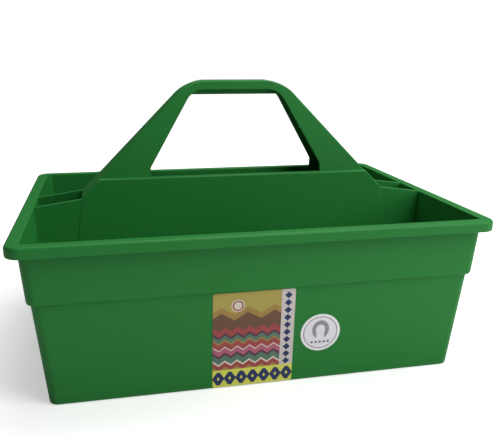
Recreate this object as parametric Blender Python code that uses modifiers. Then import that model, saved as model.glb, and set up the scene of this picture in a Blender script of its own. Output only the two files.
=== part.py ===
"""Grooming tote: a moulded tub with a tall dividing handle, and its two stickers.

Metres, +Z up, +X along the long side, -Y to the front. The origin is the centre
of the base, on the surface that the tote stands on. The real tub, divider and
handle are one moulding; here each region of it is a piece of its own, with a
joint line of GAP between neighbours.
"""
from math import atan2, cos, degrees, pi, radians, sin, tan

import bmesh
import bpy
from mathutils import Vector

# Rim: a flat band round the top with a skirt that hangs from its outer edge
RIM_LENGTH = 0.457
RIM_WIDTH = 0.3355
RIM_HEIGHT = 0.1622
RIM_FLAT = 0.0125
RIM_SKIRT = 0.0105
RIM_THICKNESS = 0.0028
RIM_EDGE = 0.003
RIM_CORNER = 0.015
RIM_INNER_CORNER = 0.004

# Walls: two tapered tiers with a step between them, as insets from the rim's outer edge.
# The knee is the share of the step's rise where most of its depth is done, and the
# inner face is through its own step at INNER_STEP rises.
WALL = 0.0032
WALL_CORNER = 0.009
BASE_INSET = 0.025
BASE_EDGE = 0.002
STEP_HEIGHT = 0.1033
STEP_RISE = 0.0035
STEP_KNEE = 0.3
INNER_STEP = 1.3
INSET_BELOW_STEP = 0.0163
INSET_ABOVE_STEP = 0.0132
INSET_AT_SKIRT = 0.0099
WALL_JOINT_X = 0.183

# Divider: a hollow spine, open below, with a ledge round its top and a pocket at each end
LEDGE_HEIGHT = 0.189
LEDGE_HALF_LENGTH = 0.1485
DIVIDER_HALF_TOP = 0.025
DIVIDER_HALF_BASE = 0.0298
PANEL = 0.0028
SPINE_TOP_CORNER = 0.168
SPINE_TOP_HEIGHT = 0.169
SPINE_BASE_HALF_LENGTH = 0.194
POCKET_WALL = 0.0026
POCKET_RECESS = 0.0012
POCKET_END_HEIGHT = 0.162
CHANNEL_HEIGHT = 0.056
CHANNEL_CUT_START = 0.155
CHANNEL_CUT_END = 0.250

# Handle: two leaning plates on the ledge, closed by a band along their outer edge
HANDLE_HALF_BASE = 0.020
GRIP_HEIGHT = 0.289
GRIP_HALF_LENGTH = 0.0508
GRIP_HALF_DEPTH = 0.0108
GRIP_CORNER = 0.044
BAND = 0.0028
WINDOW_HALF_BASE = 0.0944
WINDOW_HALF_TOP = 0.0472
WINDOW_KINK = 0.198
WINDOW_TOP = 0.2793
WINDOW_CORNER = 0.020
GRIP_RIB = 0.0026
GRIP_RIB_LOW = 0.2739
LEG_RIB = 0.0024
LEG_RIB_HEIGHT = 0.2365
LEG_RIB_SETBACK = 0.0035

# Stickers on the lower tier of the front wall
LABEL_WIDTH = 0.080
LABEL_HEIGHT = 0.1022
LABEL_CORNER = 0.002
LABEL_X = -0.0102
LABEL_Z = 0.0518
STICKER_DIAMETER = 0.0406
STICKER_X = 0.0574
STICKER_Z = 0.0522
PAPER = 0.0003

GAP = 0.0003
ARC_STEPS = 6

GREEN = (0.034, 0.205, 0.052)
ROUGHNESS = 0.42


# Scene

def clear_scene():
    for obj in list(bpy.data.objects):
        bpy.data.objects.remove(obj, do_unlink=True)


def new_collection(name):
    collection = bpy.data.collections.new(name)
    bpy.context.scene.collection.children.link(collection)
    return collection


def plastic(name, color=GREEN, roughness=ROUGHNESS):
    material = bpy.data.materials.new(name)
    material.use_nodes = True
    shader = material.node_tree.nodes["Principled BSDF"]
    shader.inputs["Base Color"].default_value = (*color, 1.0)
    shader.inputs["Roughness"].default_value = roughness
    shader.inputs["Metallic"].default_value = 0.0
    return material


def add_piece(name, bm, material=None):
    """Puts a finished bmesh in the tote's collection under the piece's name."""
    mesh = bpy.data.meshes.new(name)
    bm.to_mesh(mesh)
    bm.free()
    obj = bpy.data.objects.new(name, mesh)
    TOTE.objects.link(obj)
    mesh.materials.append(material or plastic(name))
    mesh.shade_smooth()
    mesh.set_sharp_from_angle(angle=radians(35))
    return obj


def thicken(obj, thickness):
    """Solidify an open surface to the side that its faces turn their backs to."""
    solid = obj.modifiers.new("Thickness", "SOLIDIFY")
    solid.thickness = thickness
    solid.offset = -1.0
    solid.use_even_offset = True
    return obj


def cut(obj, cutter):
    """Takes the cutter out of a piece and puts the cutter away."""
    boolean = obj.modifiers.new("Cut", "BOOLEAN")
    boolean.operation = "DIFFERENCE"
    boolean.solver = "EXACT"
    boolean.object = cutter
    cutter.hide_render = True
    cutter.display_type = "WIRE"
    if cutter.name not in CUTTERS.objects:
        TOTE.objects.unlink(cutter)
        CUTTERS.objects.link(cutter)


# Shapes

def arc(center, radius, start, end, steps=ARC_STEPS):
    """Points on an arc between two angles in degrees."""
    angles = [radians(start + (end - start) * i / steps) for i in range(steps + 1)]
    return [(center[0] + radius * cos(a), center[1] + radius * sin(a)) for a in angles]


def mirrored(line):
    """The same line on the other side of X = 0, run back to where it started."""
    return [(-x, z) for x, z in reversed(line)]


def face_away_from(bm, point):
    """Turns the surface so that its first face looks away from a point."""
    bm.faces.ensure_lookup_table()
    face = bm.faces[0]
    face.normal_update()
    if face.normal.dot(face.calc_center_median() - Vector(point)) < 0:
        bmesh.ops.reverse_faces(bm, faces=bm.faces[:])


def swept_surface(rows, closed=False):
    """An open surface: the first row is drawn as edges and extruded from row to row."""
    bm = bmesh.new()
    verts = [bm.verts.new(point) for point in rows[0]]
    edges = [bm.edges.new(pair) for pair in zip(verts, verts[1:])]
    if closed:
        edges.append(bm.edges.new((verts[-1], verts[0])))
    for before, after in zip(rows, rows[1:]):
        made = bmesh.ops.extrude_edge_only(bm, edges=edges)["geom"]
        fresh = [item for item in made if isinstance(item, bmesh.types.BMVert)]
        edges = [item for item in made if isinstance(item, bmesh.types.BMEdge)
                 and all(vert in fresh for vert in item.verts)]
        for vert in fresh:
            nearest = min(range(len(before)), key=lambda i: (vert.co - Vector(before[i])).length)
            vert.co = after[nearest]
    bmesh.ops.recalc_face_normals(bm, faces=bm.faces[:])
    return bm


def filled_outline(points):
    """A flat face inside a closed outline of 3-D points."""
    bm = bmesh.new()
    verts = [bm.verts.new(point) for point in points]
    edges = [bm.edges.new(pair) for pair in zip(verts, verts[1:] + verts[:1])]
    bmesh.ops.contextual_create(bm, geom=edges)
    return bm


def upright_block(outline, half_width):
    """A solid from an outline in X and Z, as deep at each height as half_width says."""
    bm = filled_outline([(x, -half_width(z), z) for x, z in outline])
    made = bmesh.ops.extrude_face_region(bm, geom=bm.faces[:])["geom"]
    for item in made:
        if isinstance(item, bmesh.types.BMVert):
            item.co.y = -item.co.y
    bmesh.ops.recalc_face_normals(bm, faces=bm.faces[:])
    return bm


# Tub

def wall_levels():
    """Height and inset of the wall's outer face, from its foot to its top."""
    foot = WALL + GAP
    top = RIM_HEIGHT - RIM_THICKNESS - GAP
    skirt_low = RIM_HEIGHT - RIM_SKIRT
    lower_draft = (BASE_INSET - INSET_BELOW_STEP) / STEP_HEIGHT
    above = STEP_HEIGHT + STEP_RISE
    knee_height = STEP_HEIGHT + STEP_KNEE * STEP_RISE
    knee_inset = INSET_ABOVE_STEP + STEP_KNEE * (INSET_BELOW_STEP - INSET_ABOVE_STEP)
    upper_draft = (INSET_ABOVE_STEP - INSET_AT_SKIRT) / (skirt_low - above)
    return [
        (foot, BASE_INSET - lower_draft * foot),
        (STEP_HEIGHT, INSET_BELOW_STEP),
        (knee_height, knee_inset),
        (above, INSET_ABOVE_STEP),
        (top, INSET_ABOVE_STEP - upper_draft * (top - above)),
    ]


def wall_inset(height):
    """Inset of the wall's outer face at a height."""
    levels = wall_levels()
    for (low, inset_low), (high, inset_high) in zip(levels, levels[1:]):
        if height <= high:
            return inset_low + (inset_high - inset_low) * (height - low) / (high - low)
    return levels[-1][1]


def long_wall(name, side):
    """The front (side -1) or back (side +1) wall between the corner arms."""
    rows = []
    for height, inset in wall_levels():
        half = WALL_JOINT_X - GAP
        y = side * (RIM_WIDTH / 2 - inset)
        rows.append([(-half, y, height), (half, y, height)])
    bm = swept_surface(rows)
    face_away_from(bm, (0, 0, 0))
    return thicken(add_piece(name, bm), WALL)


def end_wall(name, side):
    """The left (side -1) or right (side +1) wall with both its rounded corners."""
    rows = []
    for height, inset in wall_levels():
        x = RIM_LENGTH / 2 - inset - WALL_CORNER
        y = RIM_WIDTH / 2 - inset - WALL_CORNER
        line = [(WALL_JOINT_X, -y - WALL_CORNER)]
        line += arc((x, -y), WALL_CORNER, -90, 0) + arc((x, y), WALL_CORNER, 0, 90)
        line += [(WALL_JOINT_X, y + WALL_CORNER)]
        rows.append([(side * px, py, height) for px, py in line])
    bm = swept_surface(rows)
    face_away_from(bm, (0, 0, 0))
    return thicken(add_piece(name, bm), WALL)


def rim_outline(inset, height):
    """The rim's plan outline at an inset from its outer edge."""
    radius = max(RIM_CORNER - inset, RIM_INNER_CORNER)
    x = RIM_LENGTH / 2 - inset - radius
    y = RIM_WIDTH / 2 - inset - radius
    line = []
    for quarter, (sx, sy) in enumerate(((1, 1), (-1, 1), (-1, -1), (1, -1))):
        line += arc((sx * x, sy * y), radius, 90 * quarter, 90 * quarter + 90)
    return [(px, py, height) for px, py in line]


def rim_flange():
    """The flat band and its skirt, as one thin surface turned over at the outer edge."""
    turn = arc((RIM_EDGE, RIM_HEIGHT - RIM_EDGE), RIM_EDGE, 90, 180, steps=3)
    section = [(RIM_FLAT, RIM_HEIGHT)] + turn + [(0.0, RIM_HEIGHT - RIM_SKIRT)]
    bm = swept_surface([rim_outline(inset, height) for inset, height in section], closed=True)
    bm.faces.ensure_lookup_table()
    if bm.faces[0].normal.z < 0:
        bmesh.ops.reverse_faces(bm, faces=bm.faces[:])
    return thicken(add_piece("rim_flange", bm), RIM_THICKNESS)


def floor_half(name, side):
    """One bay's floor, from the divider to the wall, with its outer lower edge rounded."""
    half_length = RIM_LENGTH / 2 - BASE_INSET
    outer = RIM_WIDTH / 2 - BASE_INSET
    inner = DIVIDER_HALF_BASE + GAP
    line = [(-half_length, inner), (half_length, inner)]
    line += arc((half_length - WALL_CORNER, outer - WALL_CORNER), WALL_CORNER, 0, 90)
    line += arc((WALL_CORNER - half_length, outer - WALL_CORNER), WALL_CORNER, 90, 180)
    bm = filled_outline([(x, side * y, 0.0) for x, y in line])
    made = bmesh.ops.extrude_face_region(bm, geom=bm.faces[:])["geom"]
    bmesh.ops.translate(bm, vec=(0, 0, WALL), verts=[v for v in made if isinstance(v, bmesh.types.BMVert)])
    bmesh.ops.recalc_face_normals(bm, faces=bm.faces[:])
    edge = [e for e in bm.edges if all(v.co.z < WALL / 2 for v in e.verts)
            and not all(abs(v.co.y) < inner + GAP for v in e.verts)]
    bmesh.ops.bevel(bm, geom=edge, offset=BASE_EDGE, segments=3, profile=0.5, affect="EDGES")
    return add_piece(name, bm)


# Divider

def divider_half(height):
    """Half the divider's outer depth at a height: it widens downwards."""
    share = (LEDGE_HEIGHT - height) / LEDGE_HEIGHT
    return DIVIDER_HALF_TOP + (DIVIDER_HALF_BASE - DIVIDER_HALF_TOP) * share


def spine_end_x(height):
    """How far the hollow middle of the divider reaches along X at a height."""
    share = (SPINE_TOP_HEIGHT - height) / SPINE_TOP_HEIGHT
    return SPINE_TOP_CORNER + (SPINE_BASE_HALF_LENGTH - SPINE_TOP_CORNER) * share


def slope_angle():
    """Angle of the handle's sloping ends above the horizontal."""
    return atan2(GRIP_HEIGHT - LEDGE_HEIGHT, LEDGE_HALF_LENGTH - GRIP_HALF_LENGTH)


def slope_x(height, inset=0.0):
    """X of the handle's sloping end at a height, measured in from the outer face."""
    angle = slope_angle()
    return LEDGE_HALF_LENGTH + (LEDGE_HEIGHT - height) / tan(angle) - inset / sin(angle)


def spine_lean():
    """Angle of the divider's ends from the vertical."""
    return atan2(SPINE_BASE_HALF_LENGTH - SPINE_TOP_CORNER, SPINE_TOP_HEIGHT)


def spine_corner(inset=0.0):
    """Where the divider's end line meets the slope, both measured in from their outer faces."""
    flare, fall = tan(spine_lean()), 1 / tan(slope_angle())
    spread = slope_x(0.0, inset) - (spine_end_x(0.0) - inset / cos(spine_lean()))
    height = spread / (fall - flare)
    return slope_x(height, inset), height


def leaning_plate(name, side, outline, half_depth, thickness):
    """A plate from an outline in X and Z whose outer face stands at half_depth(z)."""
    bm = filled_outline([(x, side * half_depth(z), z) for x, z in outline])
    made = bmesh.ops.extrude_face_region(bm, geom=bm.faces[:])["geom"]
    inner = [item for item in made if isinstance(item, bmesh.types.BMVert)]
    bmesh.ops.translate(bm, vec=(0.0, -side * thickness, 0.0), verts=inner)
    bmesh.ops.recalc_face_normals(bm, faces=bm.faces[:])
    return add_piece(name, bm)


def divider_panel(name, side):
    """The tall middle wall on one side of the hollow spine, turned in at its top as a ledge."""
    inset = PANEL + GAP
    corner_x, corner_height = spine_corner(inset)
    # the leaning panel's inner edge ends on the base, so its outer edge starts a little higher
    foot = PANEL * (DIVIDER_HALF_BASE - DIVIDER_HALF_TOP) / LEDGE_HEIGHT
    channel = CHANNEL_HEIGHT - 2 * GAP
    line = [(spine_end_x(foot), foot), (spine_end_x(channel), channel)]
    line += [(spine_end_x(channel) - inset / cos(spine_lean()), channel + GAP), (corner_x, corner_height)]
    line += [(slope_x(LEDGE_HEIGHT, inset), LEDGE_HEIGHT)]
    rows = [[(-x, side * divider_half(z), z), (x, side * divider_half(z), z)] for x, z in line]
    inner = side * (HANDLE_HALF_BASE - PANEL)
    rows.append([(x, inner, z) for x, y, z in rows[-1]])
    bm = swept_surface(rows)
    face_away_from(bm, (0, 0, 0))
    return thicken(add_piece(name, bm), PANEL)


def ledge_cutter():
    """Under the window the back panel has no ledge: there only its own thickness is left."""
    low, high = LEDGE_HEIGHT - 2 * PANEL, LEDGE_HEIGHT + PANEL
    half = WINDOW_HALF_BASE
    bm = upright_block([(-half, low), (half, low), (half, high), (-half, high)],
                       lambda z: DIVIDER_HALF_TOP - PANEL - GAP)
    return add_piece("back_ledge_cut", bm)


def spine_end(name, side):
    """The wall that closes the hollow spine above the channel: past the pocket and up the slope."""
    foot = spine_end_x(CHANNEL_HEIGHT)
    outer = [(foot, CHANNEL_HEIGHT), spine_corner(), (slope_x(LEDGE_HEIGHT), LEDGE_HEIGHT)]
    inner = [(slope_x(LEDGE_HEIGHT, PANEL), LEDGE_HEIGHT), spine_corner(PANEL)]
    inner += [(foot - PANEL / cos(spine_lean()), CHANNEL_HEIGHT)]
    return add_piece(name, upright_block([(side * x, z) for x, z in outer + inner], divider_half))


def end_pocket(name, side):
    """Pocket walls and floor. Below the floor the same walls flank the open channel."""
    def wall_x(height):
        return RIM_LENGTH / 2 - wall_inset(height) - WALL - 2 * GAP

    inner_step = STEP_HEIGHT + INNER_STEP * STEP_RISE
    outline = [(spine_end_x(0) + GAP, 0.0), (wall_x(0.0), 0.0), (wall_x(STEP_HEIGHT), inner_step)]
    outline += [(wall_x(inner_step), inner_step + GAP), (wall_x(POCKET_END_HEIGHT), POCKET_END_HEIGHT)]
    outline += [(SPINE_TOP_CORNER + GAP, SPINE_TOP_HEIGHT)]
    bm = upright_block([(side * x, z) for x, z in outline], lambda z: divider_half(z) - POCKET_RECESS)
    pocket = add_piece(name, bm)
    for part, low, high in (("pocket", CHANNEL_HEIGHT + POCKET_WALL, LEDGE_HEIGHT),
                            ("channel", -WALL, CHANNEL_HEIGHT)):
        cut(pocket, channel_cutter(f"{name}_{part}_cut", side, low, high))
    return pocket


def channel_cutter(name, side, low, high):
    """A drafted bar between the pocket walls, longer than the pocket."""
    inner = side * CHANNEL_CUT_START
    outer = side * CHANNEL_CUT_END
    bm = upright_block([(inner, low), (outer, low), (outer, high), (inner, high)],
                       lambda z: divider_half(z) - POCKET_RECESS - POCKET_WALL)
    return add_piece(name, bm)


# Handle

def handle_half_depth(height):
    """Half the handle's outer depth: its plates lean together towards the grip."""
    share = (height - LEDGE_HEIGHT) / (GRIP_HEIGHT - LEDGE_HEIGHT)
    return HANDLE_HALF_BASE + (GRIP_HALF_DEPTH - HANDLE_HALF_BASE) * share


def handle_profile(inset, low, steps=8):
    """Right half of the handle's outer line: up the slope and round to the grip's middle."""
    angle = slope_angle()
    center = (GRIP_HALF_LENGTH - GRIP_CORNER * tan(angle / 2), GRIP_HEIGHT - GRIP_CORNER)
    turn = arc(center, GRIP_CORNER - inset, 90 - degrees(angle), 90, steps)
    return [(slope_x(low, inset), low)] + [point for point in turn if point[1] > low]


def window_profile():
    """Right half of the window's line, from the grip down to the ledge."""
    run, rise = WINDOW_HALF_BASE - WINDOW_HALF_TOP, WINDOW_TOP - WINDOW_KINK
    lean = atan2(rise, run)
    center = (WINDOW_HALF_TOP - WINDOW_CORNER * tan(lean / 2), WINDOW_TOP - WINDOW_CORNER)
    turn = arc(center, WINDOW_CORNER, 90, 90 - degrees(lean), 5)
    return turn + [(WINDOW_HALF_BASE, WINDOW_KINK), (WINDOW_HALF_BASE, LEDGE_HEIGHT + GAP)]


def handle_plate(name, side):
    """Front or back plate of the handle: two legs and the grip round an open window."""
    outer = handle_profile(BAND + GAP, LEDGE_HEIGHT + GAP)
    inner = window_profile()
    outline = outer + mirrored(outer) + mirrored(inner) + inner
    return leaning_plate(name, side, outline, handle_half_depth, PANEL)


def handle_band():
    """The outer band: up one slope, over the grip and down the other slope."""
    outer = handle_profile(0.0, LEDGE_HEIGHT + GAP)
    inner = handle_profile(BAND, LEDGE_HEIGHT + GAP)[::-1]
    outline = outer + mirrored(outer) + mirrored(inner) + inner
    return add_piece("handle_band", upright_block(outline, handle_half_depth))


def grip_rib():
    """The web that stiffens the grip, on its centre line and below its lower edges."""
    right = handle_profile(BAND + GAP, GRIP_RIB_LOW)
    return add_piece("grip_rib", upright_block(right + mirrored(right), lambda z: GRIP_RIB / 2))


def leg_rib(name, side):
    """A small web across the hollow leg, set back from the window."""
    half_rib = LEG_RIB / 2
    window_slope = (WINDOW_HALF_BASE - WINDOW_HALF_TOP) / (WINDOW_TOP - WINDOW_KINK)
    inner = WINDOW_HALF_BASE - window_slope * (LEG_RIB_HEIGHT - WINDOW_KINK) + LEG_RIB_SETBACK
    outer = slope_x(LEG_RIB_HEIGHT + half_rib, BAND + GAP)
    half = handle_half_depth(LEG_RIB_HEIGHT + half_rib) - PANEL - GAP
    bm = bmesh.new()
    bmesh.ops.create_cube(bm, size=1.0)
    bmesh.ops.scale(bm, vec=(outer - inner, 2 * half, LEG_RIB), verts=bm.verts[:])
    rib = add_piece(name, bm)
    rib.location = (side * (inner + outer) / 2, 0.0, LEG_RIB_HEIGHT)
    return rib


# Stickers

def lay_on_front_wall(obj, x, height):
    """Stands a thin flat piece on the lower tier of the front wall."""
    lean = atan2(BASE_INSET - INSET_BELOW_STEP, STEP_HEIGHT)
    lift = GAP + PAPER / 2
    y = -(RIM_WIDTH / 2 - wall_inset(height))
    obj.rotation_euler = (pi / 2 + lean, 0.0, 0.0)
    obj.location = (x, y - lift * cos(lean), height - lift * sin(lean))


def product_label():
    """The rectangular label with small round corners."""
    x, y = LABEL_WIDTH / 2 - LABEL_CORNER, LABEL_HEIGHT / 2 - LABEL_CORNER
    line = []
    for quarter, (sx, sy) in enumerate(((1, 1), (-1, 1), (-1, -1), (1, -1))):
        line += arc((sx * x, sy * y), LABEL_CORNER, 90 * quarter, 90 * quarter + 90, 3)
    bm = filled_outline([(px, py, PAPER / 2) for px, py in line])
    bm.faces.ensure_lookup_table()
    if bm.faces[0].normal.z < 0:
        bmesh.ops.reverse_faces(bm, faces=bm.faces[:])
    label = thicken(add_piece("product_label", bm, plastic("label_paper", (0.45, 0.38, 0.20), 0.35)), PAPER)
    lay_on_front_wall(label, LABEL_X, LABEL_Z)
    return label


def round_sticker():
    """The round sticker to the right of the label."""
    bm = bmesh.new()
    bmesh.ops.create_cone(bm, cap_ends=True, segments=32, radius1=STICKER_DIAMETER / 2,
                          radius2=STICKER_DIAMETER / 2, depth=PAPER)
    sticker = add_piece("round_sticker", bm, plastic("sticker_paper", (0.75, 0.74, 0.78), 0.35))
    lay_on_front_wall(sticker, STICKER_X, STICKER_Z)
    return sticker


# Build

clear_scene()
TOTE = new_collection("grooming_tote")
CUTTERS = new_collection("cutters")

long_wall("front_wall", -1)
long_wall("back_wall", 1)
for wall_name, side in (("left_end_wall", -1), ("right_end_wall", 1)):
    wall = end_wall(wall_name, side)
    cut(wall, channel_cutter(f"{wall_name}_cut", side, -WALL, CHANNEL_HEIGHT))
rim_flange()
floor_half("front_floor", -1)
floor_half("back_floor", 1)

divider_panel("front_divider_panel", -1)
cut(divider_panel("back_divider_panel", 1), ledge_cutter())
spine_end("left_spine_end", -1)
spine_end("right_spine_end", 1)
end_pocket("left_end_pocket", -1)
end_pocket("right_end_pocket", 1)

handle_plate("front_handle_plate", -1)
handle_plate("back_handle_plate", 1)
handle_band()
grip_rib()
leg_rib("left_leg_rib", -1)
leg_rib("right_leg_rib", 1)

product_label()
round_sticker()
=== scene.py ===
# %% [markdown]
# # A grooming tote in green moulded plastic
#
# This lesson dresses a tote that a stable hand carries brushes in. The real thing is one
# injection moulding: a tapered tub, a tall hollow divider and a handle that grows out of it,
# with a paper label and a round sticker on the front. A moulding looks right when its edges
# are slightly round, its walls lean the way a mould needs, and its skin is a soft satin.
#
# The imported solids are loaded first. They fix every size, and each piece below is modelled
# over the solids that it replaces.

# %% Load the solids and keep their box
from math import atan2, cos, pi, radians, sin, tan

import bmesh
import bpy
from mathutils import Matrix, Vector


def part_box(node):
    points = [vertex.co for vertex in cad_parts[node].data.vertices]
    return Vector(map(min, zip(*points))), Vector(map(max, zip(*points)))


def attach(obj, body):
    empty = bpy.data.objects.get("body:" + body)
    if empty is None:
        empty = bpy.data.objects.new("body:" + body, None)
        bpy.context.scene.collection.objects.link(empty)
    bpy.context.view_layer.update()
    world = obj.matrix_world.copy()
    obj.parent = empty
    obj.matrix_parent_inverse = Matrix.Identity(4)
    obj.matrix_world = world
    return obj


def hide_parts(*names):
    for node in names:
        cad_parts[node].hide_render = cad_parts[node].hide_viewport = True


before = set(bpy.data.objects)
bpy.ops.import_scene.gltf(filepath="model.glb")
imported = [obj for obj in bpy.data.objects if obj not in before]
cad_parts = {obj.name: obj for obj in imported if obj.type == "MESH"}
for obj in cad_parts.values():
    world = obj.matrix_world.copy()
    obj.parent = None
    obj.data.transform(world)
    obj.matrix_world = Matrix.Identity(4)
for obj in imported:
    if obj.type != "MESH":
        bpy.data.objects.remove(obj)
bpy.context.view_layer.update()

# %% [markdown]
# The solids give the driving sizes: the rim's rectangle, the base, the divider's panels, the
# band over the grip. Only what a box can't tell is named here, such as the step in the wall.

# %% Sizes, in metres
rim_low, rim_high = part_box("rim_flange")
floor_low, floor_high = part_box("front_floor")
panel_low, panel_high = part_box("front_divider_panel")
web_low, web_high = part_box("grip_rib")
leg_web_low, leg_web_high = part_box("right_leg_rib")
label_low, label_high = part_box("product_label")
sticker_low, sticker_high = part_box("round_sticker")

HALF_LENGTH = rim_high.x
HALF_WIDTH = rim_high.y
RIM_TOP = rim_high.z
SKIRT_LOW = rim_low.z
WALL = floor_high.z
BASE_HALF_LENGTH = floor_high.x
BASE_HALF_WIDTH = -floor_low.y
LEDGE = panel_high.z
DIVIDER_FOOT = -panel_low.y
SPINE_FOOT = panel_high.x
SPINE_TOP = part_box("right_end_pocket")[1].z
GRIP_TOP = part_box("handle_band")[1].z
HANDLE_FOOT = -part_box("front_handle_plate")[0].y

DIVIDER_HEAD = 0.025
SPINE_SHOULDER = 0.168
LEDGE_HALF_LENGTH = 0.1485
GRIP_HALF_LENGTH = 0.0508
WINDOW_HALF_FOOT = 0.0944
WINDOW_HALF_TOP = 0.0472
PANEL = 0.0028
print("rim", HALF_LENGTH * 2, HALF_WIDTH * 2, "grip", GRIP_TOP)

# %% [markdown]
# A camera sees a box of this kind in three-point perspective, so its place matters more than
# its lens. It stands a little left of the middle, above the rim, and looks down and to the
# right over the long front wall. The lens is given as a focal length in pixels of the picture
# and turned into millimetres on Blender's 36 mm sensor.

# %% Camera
CAMERA_PLACE = Vector((-0.13907, -0.68939, 0.32061))
CAMERA_YAW = radians(-12.587)
CAMERA_PITCH = radians(-15.359)
CAMERA_ROLL = radians(0.397)
FOCAL_PIXELS = 630.67
PICTURE_WIDTH = 493
SENSOR_WIDTH = 36.0

across = Vector((-sin(CAMERA_YAW), cos(CAMERA_YAW), 0))
forward = across * cos(CAMERA_PITCH) + Vector((0, 0, sin(CAMERA_PITCH)))
level_right = forward.cross(Vector((0, 0, 1))).normalized()
level_up = level_right.cross(forward)
camera_right = level_right * cos(CAMERA_ROLL) + level_up * sin(CAMERA_ROLL)
camera_up = level_up * cos(CAMERA_ROLL) - level_right * sin(CAMERA_ROLL)

camera_data = bpy.data.cameras.new("camera")
camera_data.sensor_width = SENSOR_WIDTH
camera_data.lens = FOCAL_PIXELS * SENSOR_WIDTH / PICTURE_WIDTH
camera_data.clip_start = 0.01
camera = bpy.data.objects.new("camera", camera_data)
bpy.context.scene.collection.objects.link(camera)
turn = Matrix((camera_right, camera_up, -forward)).transposed().to_4x4()
camera.matrix_world = Matrix.Translation(CAMERA_PLACE) @ turn
bpy.context.scene.camera = camera
print("lens", round(camera_data.lens, 2), "mm")

# %% [markdown]
# Every operator acts on whatever is selected, so a lesson that uses operators needs two
# habits. Nothing stays selected between pieces, and inside a piece the faces or edges are
# chosen by where they are or which way they look, never by their number.

# %% Helpers: start clean and add a primitive
def deselect_everything():
    if bpy.context.mode != "OBJECT":
        bpy.ops.object.mode_set(mode="OBJECT")
    bpy.ops.object.select_all(action="DESELECT")


def take_up(piece):
    """Makes one piece the only selected and active one, in object mode."""
    deselect_everything()
    piece.select_set(True)
    bpy.context.view_layer.objects.active = piece


def name_and_size(name, size):
    """Names the new primitive, and puts its size and place into its mesh."""
    piece = bpy.context.object
    piece.name = name
    piece.scale = size
    bpy.ops.object.transform_apply(location=True, rotation=True, scale=True)
    return piece


def block(name, half_length, half_depth, low, high, middle=0.0):
    """A box from low to high, centred on X = middle and Y = 0."""
    deselect_everything()
    bpy.ops.mesh.primitive_cube_add(size=1, location=(middle, 0, (low + high) / 2))
    return name_and_size(name, (2 * half_length, 2 * half_depth, high - low))


def level_sheet(name, half_length, half_width, height=0.0):
    """A flat rectangle at a height, centred on the Z axis."""
    deselect_everything()
    bpy.ops.mesh.primitive_plane_add(size=1, location=(0, 0, height))
    return name_and_size(name, (2 * half_length, 2 * half_width, 1))


# %% [markdown]
# Choosing by place needs a test for each face, edge or point. The tests that several pieces
# share come first: all of it, what lies at one height, and what faces up or down.

# %% Helpers: choose by place
TINY = 0.0002
FACING = 0.9
STEEP = 0.8


def choose(piece, kind, test):
    """Enters edit mode and selects the faces, edges or points that pass the test."""
    if piece.mode != "EDIT":
        take_up(piece)
        bpy.ops.object.mode_set(mode="EDIT")
    bpy.ops.mesh.select_mode(type=kind)
    bpy.ops.mesh.select_all(action="DESELECT")
    shape = bmesh.from_edit_mesh(piece.data)
    shape.normal_update()
    items = {"FACE": shape.faces, "EDGE": shape.edges, "VERT": shape.verts}[kind]
    chosen = [item for item in items if test(item)]
    for item in chosen:
        item.select_set(True)
    shape.select_flush_mode()
    bmesh.update_edit_mesh(piece.data)
    return len(chosen)


def all_of_it(item):
    return True


def at_height(height):
    """A test for edges and faces whose points all lie at one height."""
    return lambda item: all(abs(point.co.z - height) < TINY for point in item.verts)


def upright(edge):
    start, end = (point.co for point in edge.verts)
    return abs(start.z - end.z) > STEEP * (start - end).length


def looks_up(face):
    return face.normal.z > FACING


def looks_down(face):
    return face.normal.z < -FACING


# %% [markdown]
# The shaping steps repeat too: extrude, spread, slice and round. A drafted piece starts as one
# face that is raised tier by tier, and each tier is spread to its own size.

# %% Helpers: shape in edit mode
def extrude(rise):
    """Extrudes the selection straight up, or down where the rise is negative."""
    bpy.ops.mesh.extrude_region_move(TRANSFORM_OT_translate={"value": (0, 0, rise)})


def spread_top(before, after, height):
    """Scales the selected face from one half length and half width to another."""
    value = (after[0] / before[0], after[1] / before[1], 1)
    bpy.ops.transform.resize(value=value, center_override=(0, 0, height))


def raise_tiers(reach, tiers):
    """Spreads the selected top to the first tier, raises it to the others, and opens it."""
    height_now = tiers[0][0]
    for number, (height, half_length, half_width) in enumerate(tiers):
        if number > 0:
            extrude(height - height_now)
        spread_top(reach, (half_length, half_width), height)
        reach = (half_length, half_width)
        height_now = height
    bpy.ops.mesh.delete(type="FACE")


def slice_at(piece, place, normal):
    """Adds an edge all round a piece where a plane crosses it."""
    choose(piece, "FACE", all_of_it)
    bpy.ops.mesh.bisect(plane_co=place, plane_no=normal)


def round_edges(piece, test, radius, steps):
    """Bevels the edges that pass a test, and tells how many they are."""
    found = choose(piece, "EDGE", test)
    bpy.ops.mesh.bevel(offset=radius, segments=steps, affect="EDGES")
    return found


def round_corners(piece, radius, steps):
    """Rounds the corners of a flat piece."""
    choose(piece, "VERT", all_of_it)
    bpy.ops.mesh.bevel(offset=radius, segments=steps, affect="VERTICES")


# %% [markdown]
# A wall and a cut come from modifiers, which are applied at once. A finished piece has all its
# faces pointing out, is smooth up to an angle and sharp beyond it, and says which solids it
# stands for.

# %% Helpers: modifiers and finish
SHARP_TURN = radians(35)
SMOOTH_TURN = radians(32)


def apply_modifiers(piece):
    take_up(piece)
    for modifier in list(piece.modifiers):
        bpy.ops.object.modifier_apply(modifier=modifier.name)


def give_wall(piece, thickness):
    """Solidify an open shell inwards, so that its outer face stays where it was drawn."""
    wall = piece.modifiers.new("wall", "SOLIDIFY")
    wall.thickness = thickness
    wall.offset = -1.0
    wall.use_even_offset = True
    apply_modifiers(piece)


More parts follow.
